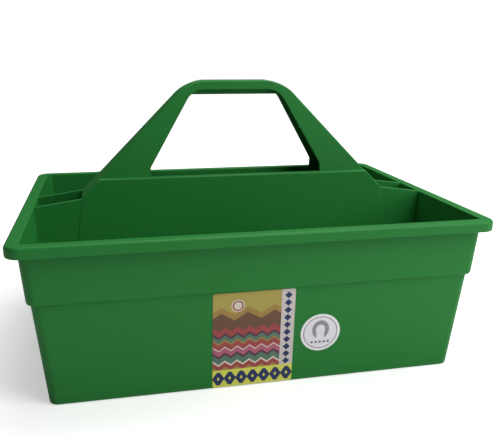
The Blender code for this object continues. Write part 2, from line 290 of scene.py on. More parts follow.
def cut_out(piece, cutter):
    """Takes the cutter's volume out of a piece, and throws the cutter away."""
    boolean = piece.modifiers.new("cut", "BOOLEAN")
    boolean.operation = "DIFFERENCE"
    boolean.solver = "EXACT"
    boolean.object = cutter
    apply_modifiers(piece)
    bpy.data.objects.remove(cutter, do_unlink=True)


def soften(piece, width, steps, leave):
    """Rounds every sharp edge, save those that a test leaves."""
    def wanted(edge):
        return edge.is_manifold and edge.calc_face_angle() > SHARP_TURN and not leave(edge)

    print(piece.name, "edges rounded:", round_edges(piece, wanted, width, steps))


def point_out(piece):
    """Turns all faces outwards."""
    choose(piece, "FACE", all_of_it)
    bpy.ops.mesh.normals_make_consistent(inside=False)


def finish_piece(piece, material, slot, *nodes):
    """Smooth shading, the finish, and the solids that the piece stands for."""
    point_out(piece)
    take_up(piece)
    bpy.ops.object.shade_smooth_by_angle(angle=SMOOTH_TURN)
    weighted = piece.modifiers.new("flat faces stay flat", "WEIGHTED_NORMAL")
    weighted.weight = 100
    weighted.keep_sharp = True
    apply_modifiers(piece)
    piece.data.materials.clear()
    piece.data.materials.append(material)
    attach(piece, "root")
    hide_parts(*nodes)
    deselect_everything()
    print(piece.name, len(piece.data.polygons), "faces, stands for", ", ".join(nodes))


# %% [markdown]
# The plastic is a satin polyethylene. Fresh from the mould it is one green, so the interest
# comes from its skin: a fine grain that the steel leaves, a roughness that drifts a little
# from place to place, and a green that is a touch deeper where the melt flowed last. All of
# it is made from noise on Object coordinates, so it stays put when the camera moves.

# %% Helpers for materials
def new_material(name):
    """A material, its node tree and its main shader."""
    material = bpy.data.materials.new(name)
    material.use_nodes = True
    tree = material.node_tree
    return material, tree, tree.nodes["Principled BSDF"]


def feed(tree, socket, value):
    """Puts a number or a colour into a socket, or links another node's result to it."""
    if isinstance(value, bpy.types.NodeSocket):
        tree.links.new(value, socket)
    else:
        socket.default_value = value


def add_node(tree, kind, **sockets):
    """A node with some of its input sockets set or linked."""
    node = tree.nodes.new(kind)
    for name, value in sockets.items():
        feed(tree, node.inputs[name.replace("_", " ")], value)
    return node


def object_place(tree):
    return tree.nodes.new("ShaderNodeTexCoord").outputs["Object"]


def noise(tree, per_metre, detail):
    """Noise that is fixed to the piece."""
    node = add_node(tree, "ShaderNodeTexNoise", Vector=object_place(tree), Scale=per_metre, Detail=detail)
    return node.outputs["Fac"]


def blend(tree, share, first, second):
    """A colour between two others."""
    node = tree.nodes.new("ShaderNodeMix")
    node.data_type = "RGBA"
    tree.links.new(share, node.inputs["Factor"])
    feed(tree, node.inputs["A"], first)
    feed(tree, node.inputs["B"], second)
    return node.outputs["Result"]


def remap(tree, value, low, high, start=0.0, end=1.0):
    """Maps a value's range from start to end onto low to high."""
    node = add_node(tree, "ShaderNodeMapRange", Value=value, From_Min=start, From_Max=end,
                    To_Min=low, To_Max=high)
    return node.outputs["Result"]


def emboss(tree, shader, height, strength, depth):
    """Fine relief, too small to be modelled."""
    relief = add_node(tree, "ShaderNodeBump", Height=height, Strength=strength, Distance=depth)
    tree.links.new(relief.outputs["Normal"], shader.inputs["Normal"])


# %% [markdown]
# With these helpers a finish is a short recipe: two noises, a tint, a drift of the gloss and a
# grain. The sheen stays low, because a wide highlight would turn the deep green grey.

# %% Green plastic
PLASTIC_GREEN = (0.024, 0.237, 0.044, 1.0)
PLASTIC_GREEN_DEEP = (0.021, 0.217, 0.039, 1.0)
PLASTIC_SHEEN = 0.2
PLASTIC_IOR = 1.5
SATIN_LOW = 0.40
SATIN_HIGH = 0.48
FLOW_PER_METRE = 9.0
GRAIN_PER_METRE = 1400.0
GRAIN_STRENGTH = 0.25
GRAIN_DEPTH = 0.00008


def green_plastic():
    material, tree, shader = new_material("green_plastic")
    flow = noise(tree, FLOW_PER_METRE, 3.0)
    grain = noise(tree, GRAIN_PER_METRE, 2.0)
    tree.links.new(blend(tree, flow, PLASTIC_GREEN_DEEP, PLASTIC_GREEN), shader.inputs["Base Color"])
    tree.links.new(remap(tree, flow, SATIN_LOW, SATIN_HIGH), shader.inputs["Roughness"])
    emboss(tree, shader, grain, GRAIN_STRENGTH, GRAIN_DEPTH)
    shader.inputs["IOR"].default_value = PLASTIC_IOR
    shader.inputs["Specular IOR Level"].default_value = PLASTIC_SHEEN
    return material


GREEN = green_plastic()
print(GREEN.name, "has", len(GREEN.node_tree.nodes), "nodes")

# %% [markdown]
# The tub is drawn as one open shell. A block gets its upright corners rounded, then its top
# face is raised tier by tier and spread as it goes, which is the draft that lets the moulding
# leave its mould. The step is a short, almost level tier. The wall gets its thickness before
# the edges are rounded, because a round outer edge tighter than the wall has no inner one.

# %% Tub: two tiers and a step
CORNER = 0.009
STEP_HEIGHT = 0.1033
STEP_SLANT = 0.0008
BELOW_STEP = 0.0163
ABOVE_STEP = 0.0132
AT_SKIRT = 0.0099
WALL_TOP = 0.161
BASE_ROUND = 0.0018
FLOOR_COVE = 0.003
STEP_ROUND = 0.0024
STEP_CREASE = 0.0008

upper_draft = (ABOVE_STEP - AT_SKIRT) / (SKIRT_LOW - STEP_HEIGHT)
tub_tiers = (
    (STEP_HEIGHT, BELOW_STEP),
    (STEP_HEIGHT + STEP_SLANT, ABOVE_STEP),
    (WALL_TOP, ABOVE_STEP - upper_draft * (WALL_TOP - STEP_HEIGHT)),
)

tub = block("tub", BASE_HALF_LENGTH, BASE_HALF_WIDTH, 0.0, STEP_HEIGHT)
round_edges(tub, upright, CORNER, 8)
choose(tub, "FACE", looks_up)
raise_tiers((BASE_HALF_LENGTH, BASE_HALF_WIDTH), [
    (height, HALF_LENGTH - inset, HALF_WIDTH - inset) for height, inset in tub_tiers])
give_wall(tub, WALL)

for height, radius, steps in ((0.0, BASE_ROUND, 4), (WALL, FLOOR_COVE, 4),
                              (STEP_HEIGHT + STEP_SLANT, STEP_ROUND, 4), (STEP_HEIGHT, STEP_CREASE, 2)):
    print("rounded", round_edges(tub, at_height(height), radius, steps), "edges at", round(height, 4))

# %% [markdown]
# Under the divider the moulding is hollow: the mould's core came up from below. A drafted
# bar, run along the whole tote, takes the floor away there and notches both end walls, so
# that the tote can straddle a board. A second, wider bar trims the floor back to the middle
# of the divider's panels, where the two pieces meet unseen.

# %% Tub: the channel underneath
CHANNEL_ROOF = 0.056
POCKET_WALL = 0.0033
POCKET_RECESS = 0.0005
CHANNEL_ROUND = 0.003
BELOW_FLOOR = -0.02
CHANNEL_OVERRUN = 1.1


def divider_half(height):
    """Half the divider's outer depth: it narrows from its foot to the ledge."""
    return DIVIDER_FOOT + (DIVIDER_HEAD - DIVIDER_FOOT) * height / LEDGE


def drafted_bar(name, low, high, half_length, trim, middle=0.0):
    """A bar that fits between the divider's faces, less a trim on each side."""
    bar = block(name, half_length, divider_half(low) - trim, low, high, middle)
    choose(bar, "FACE", looks_up)
    taper = (divider_half(high) - trim) / (divider_half(low) - trim)
    bpy.ops.transform.resize(value=(1, taper, 1), center_override=(middle, 0, high))
    return bar


def along_x(edge):
    return abs(edge.verts[0].co.y - edge.verts[1].co.y) < TINY


def channel_bar():
    """The channel's shape, with its upper corners rounded."""
    trim = POCKET_RECESS + POCKET_WALL
    bar = drafted_bar("channel", BELOW_FLOOR, CHANNEL_ROOF, CHANNEL_OVERRUN * HALF_LENGTH, trim)
    round_edges(bar, lambda edge: at_height(CHANNEL_ROOF)(edge) and along_x(edge), CHANNEL_ROUND, 4)
    return bar


cut_out(tub, channel_bar())
cut_out(tub, drafted_bar("floor_strip", BELOW_FLOOR, 2 * WALL, SPINE_FOOT, PANEL / 2))
finish_piece(tub, GREEN, "green_plastic", "front_wall", "back_wall", "left_end_wall", "right_end_wall",
             "front_floor", "back_floor")

# %% [markdown]
# The rim starts flat: a plane with round corners, inset to leave a band, its outer edge pulled
# down as a skirt. It is the part that catches the most light, so its outer edge gets a real
# radius, and the skirt's foot and the band's inner edge smaller ones.

# %% Rim
RIM_FLAT = 0.0125
RIM_CORNER = 0.015
RIM_WALL = 0.0028
RIM_ROUND = 0.003
RIM_FOOT_ROUND = 0.001
ARC_REACH = 0.0006


def on_outline(item):
    """True for what lies on the rim's outermost outline, round corners included."""
    corner_x, corner_y = HALF_LENGTH - RIM_CORNER, HALF_WIDTH - RIM_CORNER
    for point in item.verts:
        over_x, over_y = abs(point.co.x) - corner_x, abs(point.co.y) - corner_y
        off_arc = Vector((max(over_x, 0), max(over_y, 0))).length - RIM_CORNER
        if min(over_x, over_y) > 0 and abs(off_arc) > ARC_REACH:
            return False
        if min(over_x, over_y) <= 0 and abs(max(over_x, over_y) - RIM_CORNER) > TINY:
            return False
    return True


def within_band(item):
    """True for what lies no further out than the flat band's inner edge."""
    return (max(abs(point.co.x) for point in item.verts) < HALF_LENGTH - RIM_FLAT + TINY
            and max(abs(point.co.y) for point in item.verts) < HALF_WIDTH - RIM_FLAT + TINY)


at_rim_top = at_height(RIM_TOP)
rim = level_sheet("rim", HALF_LENGTH, HALF_WIDTH, RIM_TOP)
round_corners(rim, RIM_CORNER, 10)
choose(rim, "FACE", all_of_it)
bpy.ops.mesh.inset(thickness=RIM_FLAT)
bpy.ops.mesh.delete(type="FACE")
choose(rim, "EDGE", lambda edge: edge.is_boundary and on_outline(edge))
extrude(SKIRT_LOW - RIM_TOP)
give_wall(rim, RIM_WALL)
round_edges(rim, lambda edge: at_rim_top(edge) and on_outline(edge), RIM_ROUND, 6)
round_edges(rim, at_height(SKIRT_LOW), RIM_FOOT_ROUND, 3)
round_edges(rim, lambda edge: at_rim_top(edge) and within_band(edge), RIM_FOOT_ROUND, 3)
finish_piece(rim, GREEN, "green_plastic", "rim_flange")

# %% [markdown]
# The divider is a hollow wedge, wide at its foot. At its top it turns in as a narrow ledge,
# and the handle stands on the ledge's inner edge, so that one hollow runs up from the channel
# into the grip. The shell is drawn level by level. The last level doesn't rise: it only draws
# in, and the face that it leaves is deleted, which opens the ledge. The slope's upper edge stays
# sharp, because the handle carries on from it in the same plane. Behind the hand window there is
# no ledge, only the thickness of the panel, so that strip of the shell is deleted too.

# %% Divider
OUTER_ROUND = 0.0018
INNER_ROUND = 0.0009
CLEAR = 0.0003
slope_angle = atan2(GRIP_TOP - LEDGE, LEDGE_HALF_LENGTH - GRIP_HALF_LENGTH)


def slope_x(height, depth=0.0):
    """X of the sloping ends at a height, some depth inside their outer faces."""
    return LEDGE_HALF_LENGTH - (height - LEDGE) / tan(slope_angle) - depth / sin(slope_angle)


divider = block("divider", SPINE_FOOT, DIVIDER_FOOT, 0.0, SPINE_TOP)
choose(divider, "FACE", looks_up)
raise_tiers((SPINE_FOOT, DIVIDER_FOOT), (
    (SPINE_TOP, SPINE_SHOULDER, divider_half(SPINE_TOP)),
    (LEDGE, LEDGE_HALF_LENGTH, DIVIDER_HEAD),
    (LEDGE, slope_x(LEDGE, PANEL + CLEAR), HANDLE_FOOT - PANEL - CLEAR),
))
for cut_x in (-WINDOW_HALF_FOOT, WINDOW_HALF_FOOT):
    slice_at(divider, (cut_x, 0, 0), (1, 0, 0))


def behind_window(item):
    """True for what lies along the divider's top, at the back, within the window's width."""
    return at_height(LEDGE)(item) and all(
        point.co.y > 0 and abs(point.co.x) < WINDOW_HALF_FOOT + TINY for point in item.verts)


def closes_the_channel(face):
    """True for the block's underside and for its ends below the channel's roof."""
    below_roof = face.calc_center_median().z < CHANNEL_ROOF
    return looks_down(face) or (below_roof and abs(face.normal.x) > FACING)


choose(divider, "FACE", behind_window)
bpy.ops.mesh.delete(type="FACE")
slice_at(divider, (0, 0, CHANNEL_ROOF), (0, 0, 1))
choose(divider, "FACE", closes_the_channel)
bpy.ops.mesh.delete(type="FACE")
give_wall(divider, PANEL)
choose(divider, "VERT", lambda point: point.co.z < TINY)
bpy.ops.transform.resize(value=(1, 1, 0), center_override=(0, 0, 0))


def slope_top(edge):
    """The edge where the divider's slope hands over to the handle's."""
    return at_height(LEDGE)(edge) and all(abs(abs(point.co.x) - LEDGE_HALF_LENGTH) < TINY
                                          for point in edge.verts)


def not_an_outer_arris(edge):
    on_face = all(abs(abs(point.co.y) - divider_half(point.co.z)) < TINY for point in edge.verts)
    return slope_top(edge) or at_height(0.0)(edge) or not on_face


soften(divider, OUTER_ROUND, 4, leave=not_an_outer_arris)
soften(divider, INNER_ROUND, 2, leave=lambda edge: slope_top(edge) or behind_window(edge))
finish_piece(divider, GREEN, "green_plastic", "front_divider_panel", "back_divider_panel",
             "left_spine_end", "right_spine_end")

# %% [markdown]
# A pocket fills the gap between the divider's end and the tub's end wall. Its two side walls
# stand half a millimetre behind the divider's faces. That is less than the divider's rounding,
# so the joint shows as a faint upright line and not as a groove. Their top edges run downhill
# and are fully round. It is a block trimmed to the lean of both neighbours, with one bar taken
# out above its floor and the channel taken out below.

# %% Pockets
POCKET_DROP = 0.007
POCKET_FLOOR = 0.0026
POCKET_TOP_ROUND = 0.0012
SINK = 0.0014


def wall_inset(height):
    """Inset of the tub's outer face at a height."""
    if height <= STEP_HEIGHT:
        foot = HALF_LENGTH - BASE_HALF_LENGTH
        return foot + (BELOW_STEP - foot) * height / STEP_HEIGHT
    return ABOVE_STEP - upper_draft * (height - STEP_HEIGHT)


def spine_end(height):
    """Half the spine's length at a height."""
    return SPINE_FOOT + (SPINE_SHOULDER - SPINE_FOOT) * height / SPINE_TOP


def pocket_end(height):
    """X of a pocket's far end at a height, sunk a little into the tub's end wall."""
    hair_above = TINY if height > STEP_HEIGHT else 0.0
    return HALF_LENGTH - wall_inset(height + hair_above) - SINK


def move_points(piece, test, move):
    choose(piece, "VERT", test)
    bpy.ops.transform.translate(value=move)


def along_the_top(edge):
    """True for the edges that run along the top of a pocket's side walls."""
    start, end = (point.co for point in edge.verts)
    high_enough = min(start.z, end.z) > SPINE_TOP - POCKET_DROP - TINY
    return high_enough and abs(start.x - end.x) > POCKET_WALL


def pocket(name, side, node):
    inner, outer = SPINE_SHOULDER - SINK, HALF_LENGTH - AT_SKIRT - SINK
    middle = side * (inner + outer) / 2
    piece = drafted_bar(name, 0.0, SPINE_TOP, (outer - inner) / 2, POCKET_RECESS, middle)
    inner_step = STEP_HEIGHT + WALL
    for height in (STEP_HEIGHT, inner_step):
        slice_at(piece, (0, 0, height), (0, 0, 1))
    for height in (0.0, STEP_HEIGHT, inner_step, SPINE_TOP):
        for start, end in ((outer, pocket_end(height)), (inner, spine_end(height) - SINK)):
            move_points(piece, lambda point: abs(point.co.z - height) < TINY
                        and abs(abs(point.co.x) - start) < TINY, (side * (end - start), 0, 0))
    move_points(piece, lambda point: abs(point.co.z - SPINE_TOP) < TINY
                and abs(point.co.x) > (inner + outer) / 2, (0, 0, -POCKET_DROP))
    bpy.ops.object.mode_set(mode="OBJECT")
    trim = POCKET_RECESS + POCKET_WALL
    room_floor = CHANNEL_ROOF + POCKET_FLOOR
    cut_out(piece, drafted_bar("pocket_room", room_floor, LEDGE, outer - inner, trim, middle))
    cut_out(piece, channel_bar())
    print(name, "top edges rounded:", round_edges(piece, along_the_top, POCKET_TOP_ROUND, 4))
    finish_piece(piece, GREEN, "green_plastic", node)


pocket("left_pocket", -1, "left_end_pocket")
pocket("right_pocket", 1, "right_end_pocket")

# %% [markdown]
# The handle is a hollow trapezoid that leans together towards the grip. One helper draws such
# a trapezoid: a block, its top face drawn in, and its two shoulders rounded by a wide bevel.
# A bevel's offset is measured along the faces, so a radius has to be turned into the length
# of its tangent first. The same helper makes the cutter for the hand window and the web.

# %% Handle
GRIP_HALF_DEPTH = 0.0108
GRIP_CORNER = 0.044
HANDLE_ROOT = 0.0025
WINDOW_KINK = 0.198
WINDOW_TOP = 0.2793
WINDOW_CORNER = 0.020
WINDOW_PAST = 0.020


def trapezoid(name, low, high, foot, top, radius, steps):
    """A block from (half length, half depth) foot to top, its two shoulders rounded."""
    piece = block(name, foot[0], foot[1], low, high)
    choose(piece, "FACE", looks_up)
    spread_top(foot, top, high)
    lean = atan2(high - low, foot[0] - top[0])
    round_edges(piece, lambda edge: at_height(high)(edge) and not along_x(edge),
                radius * tan(lean / 2), steps)
    return piece


def handle_half(height):
    """Half the handle's outer depth at a height."""
    share = max(height - LEDGE, 0) / (GRIP_TOP - LEDGE)
    return HANDLE_FOOT + (GRIP_HALF_DEPTH - HANDLE_FOOT) * share


def not_a_handle_arris(edge):
    on_face = all(abs(abs(point.co.y) - handle_half(point.co.z)) < TINY for point in edge.verts)
    return at_root(edge) or not on_face


at_root = at_height(LEDGE - HANDLE_ROOT)
handle = trapezoid("handle", LEDGE, GRIP_TOP, (LEDGE_HALF_LENGTH, HANDLE_FOOT),
                   (GRIP_HALF_LENGTH, GRIP_HALF_DEPTH), GRIP_CORNER, 16)
choose(handle, "FACE", looks_down)
bpy.ops.mesh.delete(type="FACE")
choose(handle, "EDGE", lambda edge: edge.is_boundary)
extrude(-HANDLE_ROOT)
give_wall(handle, PANEL)
soften(handle, OUTER_ROUND, 4, leave=not_a_handle_arris)

window = trapezoid("window", WINDOW_KINK, WINDOW_TOP, (WINDOW_HALF_FOOT, 2 * DIVIDER_HEAD),
                   (WINDOW_HALF_TOP, 2 * DIVIDER_HEAD), WINDOW_CORNER, 8)
choose(window, "FACE", looks_down)
extrude(LEDGE - WINDOW_KINK - WINDOW_PAST)
bpy.ops.object.mode_set(mode="OBJECT")
cut_out(handle, window)
soften(handle, INNER_ROUND, 3, leave=lambda edge: at_height(LEDGE)(edge) or at_root(edge))
finish_piece(handle, GREEN, "green_plastic", "front_handle_plate", "back_handle_plate", "handle_band")

# %% [markdown]
# Inside the grip a thin web runs along the middle, and a small one crosses each leg. They
# keep the hollow handle from closing up when a full tote is lifted. Their ends are sunk into
# the walls around them.

# %% Webs
WEB_ROUND = 0.0005


def no_edge(edge):
    return False


web_half = (web_high.y - web_low.y) / 2
web_top = GRIP_TOP - SINK
grip_web = trapezoid("grip_web", web_low.z, web_top, (slope_x(web_low.z, SINK), web_half),
                     (slope_x(web_top, SINK), web_half), GRIP_CORNER - SINK, 16)
soften(grip_web, WEB_ROUND, 2, leave=no_edge)
finish_piece(grip_web, GREEN, "green_plastic", "grip_rib")

for side, name, node in ((-1, "left_leg_web", "left_leg_rib"), (1, "right_leg_web", "right_leg_rib")):
    reach = leg_web_high.x - leg_web_low.x + SINK
    leg_web = block(name, reach / 2, leg_web_high.y + SINK, leg_web_low.z, leg_web_high.z,
                    side * (leg_web_low.x + reach / 2))
    soften(leg_web, WEB_ROUND, 2, leave=no_edge)
    finish_piece(leg_web, GREEN, "green_plastic", node)

# %% [markdown]
# The label and the sticker are thin paper with rounded corners, laid on the lower tier. That
# tier leans, so each piece is drawn flat, tipped by the wall's own lean, and set down on it.

# %% Label and sticker shapes
PAPER = 0.0003
LABEL_CORNER = 0.002
lower_lean = atan2(HALF_LENGTH - BASE_HALF_LENGTH - BELOW_STEP, STEP_HEIGHT)
LABEL_HALF_WIDTH = (label_high.x - label_low.x) / 2
LABEL_HALF_HEIGHT = (label_high.z - label_low.z) / 2 / cos(lower_lean) - PAPER
STICKER_RADIUS = (sticker_high.x - sticker_low.x) / 2
STICKER_SIDES = 64


def lay_on_front(piece, node):
    """Gives a flat outline its paper thickness and stands it on the wall over a node."""
    low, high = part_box(node)
    middle = (low + high) / 2
    give_wall(piece, PAPER)
    face_y = -(HALF_WIDTH - wall_inset(middle.z))
    piece.matrix_world = (Matrix.Translation((middle.x, face_y - PAPER, middle.z))
                          @ Matrix.Rotation(pi / 2 + lower_lean, 4, "X"))
    take_up(piece)
    bpy.ops.object.transform_apply(location=True, rotation=True, scale=True)


label = level_sheet("label", LABEL_HALF_WIDTH, LABEL_HALF_HEIGHT)
round_corners(label, LABEL_CORNER, 6)
lay_on_front(label, "product_label")

deselect_everything()
bpy.ops.mesh.primitive_circle_add(vertices=STICKER_SIDES, radius=STICKER_RADIUS, fill_type="NGON")
sticker = bpy.context.object
sticker.name = "sticker"
lay_on_front(sticker, "round_sticker")
print("sheets", round(2 * LABEL_HALF_HEIGHT, 4), "high and", round(2 * STICKER_RADIUS, 4), "across")

# %% [markdown]
# The real label and sticker are printed, so each is one sheet whose colour changes from place
# to place. The print could be an image, but plain shapes can be reckoned from the coordinates:
# a Mapping node turns Object coordinates into millimetres on the sheet, a pair of comparisons
# gives a mask that is 1 inside a shape, and each ink is laid over the last one by its mask.
# Both prints are this lesson's own: lozenges, a sun over hills, woven bands and a horseshoe.

# %% Helpers for a print: numbers
METRES_TO_MM = 1000.0


def reckon(tree, operation, first, second=0.0):
    """The result of one Math node. Each value is a number or another node's result."""
    node = tree.nodes.new("ShaderNodeMath")
    node.operation = operation
    feed(tree, node.inputs[0], first)
    feed(tree, node.inputs[1], second)
    return node.outputs[0]


def millimetres(tree, corner):
    """X and height on a sheet, in mm from a corner, measured along the leaning wall."""
    scale = Vector((METRES_TO_MM, METRES_TO_MM, METRES_TO_MM / cos(lower_lean)))
    mapping = add_node(tree, "ShaderNodeMapping", Vector=object_place(tree), Scale=scale,
                       Location=-scale * corner)
    parts = add_node(tree, "ShaderNodeSeparateXYZ", Vector=mapping.outputs["Vector"])
    return parts.outputs["X"], parts.outputs["Z"]


def off_line(tree, value, middle):
    """How far a value is from a middle, on either side."""
    return reckon(tree, "ABSOLUTE", reckon(tree, "SUBTRACT", value, middle))


def distance(tree, across_value, up_value, middle_x, middle_y):
    """Distance from a point on the sheet."""
    side = reckon(tree, "SUBTRACT", across_value, middle_x)
    rise = reckon(tree, "SUBTRACT", up_value, middle_y)
    return reckon(tree, "SQRT", reckon(tree, "ADD", reckon(tree, "MULTIPLY", side, side),
                                       reckon(tree, "MULTIPLY", rise, rise)))


def zigzag(tree, value, half_wave, height, shift=0.0):
    """A triangle wave of a height along a value."""
    wave = reckon(tree, "PINGPONG", reckon(tree, "ADD", value, shift), half_wave)
    return reckon(tree, "MULTIPLY", wave, height / half_wave)


# %% [markdown]
# A mask is a number too: 1 where the ink goes and 0 elsewhere. Two masks multiplied keep what
# both of them hold. A constant ramp prints many flat inks from one value.

# %% Helpers for a print: masks and inks
def under(tree, value, bound):
    return reckon(tree, "LESS_THAN", value, bound)


def over(tree, value, bound):
    return reckon(tree, "GREATER_THAN", value, bound)


def both(tree, first, second):
    return reckon(tree, "MULTIPLY", first, second)


def within(tree, value, low, high):
    return both(tree, over(tree, value, low), under(tree, value, high))


def stripes(tree, value, edges_and_inks, total):
    """A ramp of flat inks: each one starts at its edge."""
    ramp = add_node(tree, "ShaderNodeValToRGB", Fac=reckon(tree, "DIVIDE", value, total))
    ramp.color_ramp.interpolation = "CONSTANT"
    stops = ramp.color_ramp.elements
    while len(stops) < len(edges_and_inks):
        stops.new(1.0)
    for stop, (edge, ink) in zip(stops, edges_and_inks):
        stop.position = edge / total
        stop.color = ink
    return ramp.outputs["Color"]


# %% [markdown]
# Under the print is coated paper. Its fibre makes the gloss and the relief slightly uneven, and
# it lightens and darkens the finished print by a few percent, as thin ink on paper does.

# %% Helpers for a print: the paper
PAPER_GLOSS = 0.4
GLOSS_DRIFT = 0.05
FIBRES_PER_METRE = 900.0
FIBRE_STRENGTH = 0.15
FIBRE_DEPTH = 0.00004


def paper(name):
    """Coated paper, with the print still to come."""
    material, tree, shader = new_material(name)
    fibre = noise(tree, FIBRES_PER_METRE, 3.0)
    sheen = remap(tree, fibre, PAPER_GLOSS - GLOSS_DRIFT, PAPER_GLOSS + GLOSS_DRIFT)
    tree.links.new(sheen, shader.inputs["Roughness"])
    emboss(tree, shader, fibre, FIBRE_STRENGTH, FIBRE_DEPTH)
    shader.inputs["Specular IOR Level"].default_value = PLASTIC_SHEEN
    return material, tree, shader, fibre


def put_on_paper(tree, shader, printed, fibre, mottle):
    """Lets the fibre mottle the print, and gives it to the shader."""
    brightness = reckon(tree, "ADD", reckon(tree, "MULTIPLY", fibre, mottle), 1.0 - mottle / 2)
    mottled = add_node(tree, "ShaderNodeHueSaturation", Color=printed, Value=brightness)
    tree.links.new(mottled.outputs["Color"], shader.inputs["Base Color"])


# %% [markdown]
# The label borrows only the colours that such labels like: yellow and pale paper with dark
# blue on them, gold, reds, plum and teal. A border of lozenges lies along the foot, a column of
# beads stands at the right, and a sun over hills sits on woven bands. The zigzags come from one
# number: PINGPONG folds the distance along the sheet into a triangle wave, and that wave is
# added to the height before the ramp reads it.

# %% Label print
YELLOW = (0.80, 0.82, 0.13, 1)
NAVY = (0.034, 0.050, 0.150, 1)
PALE = (0.72, 0.65, 0.63, 1)
GOLD = (0.50, 0.41, 0.11, 1)
OCHRE = (0.43, 0.27, 0.085, 1)
UMBER = (0.19, 0.10, 0.060, 1)
PLUM = (0.13, 0.060, 0.085, 1)
CRIMSON = (0.42, 0.085, 0.085, 1)
ROSE = (0.52, 0.14, 0.22, 1)
TEAL = (0.12, 0.23, 0.17, 1)
CREAM = (0.80, 0.72, 0.62, 1)
SHEET_HEIGHT = 104.0
HILL_HALF_WAVE = 13.0
HILL_HEIGHT = 8.0
HILL_SHIFT = 5.0
COUNTRY = ((0, UMBER), (70, UMBER), (73, OCHRE), (79, GOLD))
WEAVE_HALF_WAVE = 6.0
WEAVE_HEIGHT = 4.5
WEAVE_TOP = 68.0
WEAVE = ((0, OCHRE), (23, CRIMSON), (28, CREAM), (30, TEAL), (36, PLUM), (39, ROSE), (44, CREAM),
         (45.5, CRIMSON), (51, OCHRE), (53, TEAL), (57, PLUM), (60, CRIMSON), (66, UMBER))
SUN_PLACE = (24.0, 88.0)
SUN_RADIUS = 6.4
SUN_RING = (4.0, 5.4)
COLUMN_START = 66.5
COLUMN_MIDDLE = 73.2
BEAD_HALF_STEP = 4.0
BEAD_REACH = 3.7
BEADS_TOP = 99.5
BORDER = 19.5
LOZENGE_STEP = 80.0 / 7
LOZENGE_SLOPE = 1.55
LOZENGE_REACH = 9.6
LOZENGE_CUT = 7.2
EYE_REACH = 2.2
LABEL_MOTTLE = 0.12


def landscape(tree, across_sheet, up_sheet):
    """Woven bands, hills over them and a sun."""
    hills = zigzag(tree, across_sheet, HILL_HALF_WAVE, HILL_HEIGHT, HILL_SHIFT)
    country = stripes(tree, reckon(tree, "SUBTRACT", up_sheet, hills), COUNTRY, SHEET_HEIGHT)
    teeth = zigzag(tree, across_sheet, WEAVE_HALF_WAVE, WEAVE_HEIGHT)
    weave_line = reckon(tree, "ADD", up_sheet, teeth)
    weave = stripes(tree, weave_line, WEAVE, SHEET_HEIGHT)
    printed = blend(tree, over(tree, weave_line, WEAVE_TOP), weave, country)
    from_sun = distance(tree, across_sheet, up_sheet, *SUN_PLACE)
    printed = blend(tree, under(tree, from_sun, SUN_RADIUS), printed, CREAM)
    return blend(tree, within(tree, from_sun, *SUN_RING), printed, CRIMSON)


def bead_column(tree, across_sheet, up_sheet):
    """Diamond beads one over the other on pale paper."""
    step = reckon(tree, "SUBTRACT", up_sheet, BORDER + BEAD_HALF_STEP)
    bead = reckon(tree, "ADD", reckon(tree, "PINGPONG", step, BEAD_HALF_STEP),
                  off_line(tree, across_sheet, COLUMN_MIDDLE))
    beads = both(tree, under(tree, bead, BEAD_REACH), under(tree, up_sheet, BEADS_TOP))
    return blend(tree, beads, PALE, NAVY)


def lozenge_border(tree, across_sheet, up_sheet):
    """Lozenges side by side, cut off level at top and foot, each with an eye."""
    rise = off_line(tree, up_sheet, BORDER / 2)
    step = reckon(tree, "SUBTRACT", across_sheet, LOZENGE_STEP / 2)
    side = reckon(tree, "PINGPONG", step, LOZENGE_STEP / 2)
    slope = reckon(tree, "ADD", rise, reckon(tree, "MULTIPLY", side, LOZENGE_SLOPE))
    lozenges = both(tree, under(tree, slope, LOZENGE_REACH), under(tree, rise, LOZENGE_CUT))
    printed = blend(tree, lozenges, YELLOW, NAVY)
    return blend(tree, under(tree, slope, EYE_REACH), printed, YELLOW)


def label_print():
    material, tree, shader, fibre = paper("label_print")
    sheet = millimetres(tree, label_low)
    printed = landscape(tree, *sheet)
    printed = blend(tree, over(tree, sheet[0], COLUMN_START), printed, bead_column(tree, *sheet))
    printed = blend(tree, under(tree, sheet[1], BORDER), printed, lozenge_border(tree, *sheet))
    put_on_paper(tree, shader, printed, fibre, LABEL_MOTTLE)
    return material


finish_piece(label, label_print(), "label_paper", "product_label")

# %% [markdown]
# The sticker is white to its edge. Inside a thin ring, on a paper that leans towards lilac, a
# grey horseshoe stands over a row of dots. Its masks come from distances and one angle.

# %% Sticker print
STICKER_WHITE = (1.0, 1.0, 1.0, 1)
LILAC_WHITE = (0.94, 0.90, 0.96, 1)
DOT_GREY = (0.19, 0.18, 0.19, 1)
SHOE_GREY = (0.36, 0.36, 0.38, 1)
FIELD_RADIUS = 18.4
RING_RADIUS = 16.8
RING_LINE = 0.7
DOT_HEIGHT = -10.4
DOT_STEP = 4.2
DOT_SIZE = 1.3
DOT_COUNT = 5
SHOE_RISE = 3.2
SHOE_NARROW = 0.86
SHOE_BAND = (5.5, 10.2)
SHOE_FOOT = 0.2
SHOE_HALF_GAP = 4.0
NAIL_BAND = (7.4, 8.5)
NAIL_STEP = radians(40)
NAIL_HALF_TURN = 0.08
STICKER_MOTTLE = 0.06


